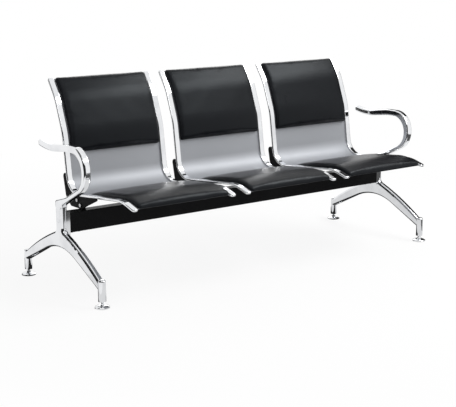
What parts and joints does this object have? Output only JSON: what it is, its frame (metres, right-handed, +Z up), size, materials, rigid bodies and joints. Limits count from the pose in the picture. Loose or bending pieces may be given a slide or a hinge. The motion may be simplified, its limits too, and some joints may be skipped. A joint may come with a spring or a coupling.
{
  "type": "beam bench",
  "caption": "Waiting-room bench: black upholstered seats and backs in bright side rails on a black beam, with looped arms and splayed legs on levelling feet.",
  "frame": {"origin": "on the floor under the middle of the bench's box", "axes": "+X along the bench to the sitter's left, -Y the way the sitter faces, +Z up"},
  "size_m": [1.761, 0.7034, 0.8148],
  "materials": {
    "chrome": "bright polished chrome",
    "silver_sheet": "satin silver paint",
    "black_steel": "satin black powder coat",
    "black_leather": "black grained leather look",
    "plywood": "raw plywood",
    "black_rubber": "matt black rubber",
    "bolt_steel": "zinc-plated steel"
  },
  "bodies": {
    "frame": {"left_shell": "silver_sheet", "left_back_pad": "black_leather", "left_seat_pad": "black_leather", "left_back_board": "plywood", "left_seat_board": "plywood", "left_pad_screws": "bolt_steel", "left_beam_lugs": "black_steel", "left_bracket_bolts": "bolt_steel", "left_left_rail": "chrome", "left_left_bracket": "black_steel", "left_right_rail": "chrome", "left_right_bracket": "black_steel", "middle_shell": "silver_sheet", "middle_back_pad": "black_leather", "middle_seat_pad": "black_leather", "middle_back_board": "plywood", "middle_seat_board": "plywood", "middle_pad_screws": "bolt_steel", "middle_beam_lugs": "black_steel", "middle_bracket_bolts": "bolt_steel", "middle_left_rail": "chrome", "middle_left_bracket": "black_steel", "middle_right_rail": "chrome", "middle_right_bracket": "black_steel", "right_shell": "silver_sheet", "right_back_pad": "black_leather", "right_seat_pad": "black_leather", "right_back_board": "plywood", "right_seat_board": "plywood", "right_pad_screws": "bolt_steel", "right_beam_lugs": "black_steel", "right_bracket_bolts": "bolt_steel", "right_left_rail": "chrome", "right_left_bracket": "black_steel", "right_right_rail": "chrome", "right_right_bracket": "black_steel", "beam_tube": "black_steel", "left_leg": "chrome", "left_arm": "chrome", "left_leg_bolts": "bolt_steel", "left_arm_bolts": "bolt_steel", "right_leg": "chrome", "right_arm": "chrome", "right_leg_bolts": "bolt_steel", "right_arm_bolts": "bolt_steel"},
    "front_left_foot": {"front_left_disc": "chrome", "front_left_sole": "black_rubber"},
    "front_left_screw": {"front_left_stem": "chrome"},
    "front_right_foot": {"front_right_disc": "chrome", "front_right_sole": "black_rubber"},
    "front_right_screw": {"front_right_stem": "chrome"},
    "rear_left_foot": {"rear_left_disc": "chrome", "rear_left_sole": "black_rubber"},
    "rear_left_screw": {"rear_left_stem": "chrome"},
    "rear_right_foot": {"rear_right_disc": "chrome", "rear_right_sole": "black_rubber"},
    "rear_right_screw": {"rear_right_stem": "chrome"}
  },
  "joints": [
    {"name": "front_left_height", "type": "slide", "parent": "frame", "child": "front_left_foot", "axis": [0, 0, 1], "range_m": [-0.02, 0.006]},
    {"name": "front_left_turn", "type": "hinge", "parent": "front_left_foot", "child": "front_left_screw", "pos_m": [-0.8515, -0.25729, 0.012], "axis": [0, 0, 1], "range_deg": [-4820, 1450]},
    {"name": "front_right_height", "type": "slide", "parent": "frame", "child": "front_right_foot", "axis": [0, 0, 1], "range_m": [-0.02, 0.006]},
    {"name": "front_right_turn", "type": "hinge", "parent": "front_right_foot", "child": "front_right_screw", "pos_m": [0.8515, -0.25729, 0.012], "axis": [0, 0, 1], "range_deg": [-4820, 1450]},
    {"name": "rear_left_height", "type": "slide", "parent": "frame", "child": "rear_left_foot", "axis": [0, 0, 1], "range_m": [-0.02, 0.006]},
    {"name": "rear_left_turn", "type": "hinge", "parent": "rear_left_foot", "child": "rear_left_screw", "pos_m": [-0.8515, 0.32271, 0.012], "axis": [0, 0, 1], "range_deg": [-4820, 1450]},
    {"name": "rear_right_height", "type": "slide", "parent": "frame", "child": "rear_right_foot", "axis": [0, 0, 1], "range_m": [-0.02, 0.006]},
    {"name": "rear_right_turn", "type": "hinge", "parent": "rear_right_foot", "child": "rear_right_screw", "pos_m": [0.8515, 0.32271, 0.012], "axis": [0, 0, 1], "range_deg": [-4820, 1450]}
  ],
  "couplings": [
    {"joint": "front_left_turn", "follows": "front_left_height", "rad_per_m": 4188.8},
    {"joint": "front_right_turn", "follows": "front_right_height", "rad_per_m": 4188.8},
    {"joint": "rear_left_turn", "follows": "rear_left_height", "rad_per_m": 4188.8},
    {"joint": "rear_right_turn", "follows": "rear_right_height", "rad_per_m": 4188.8}
  ]
}
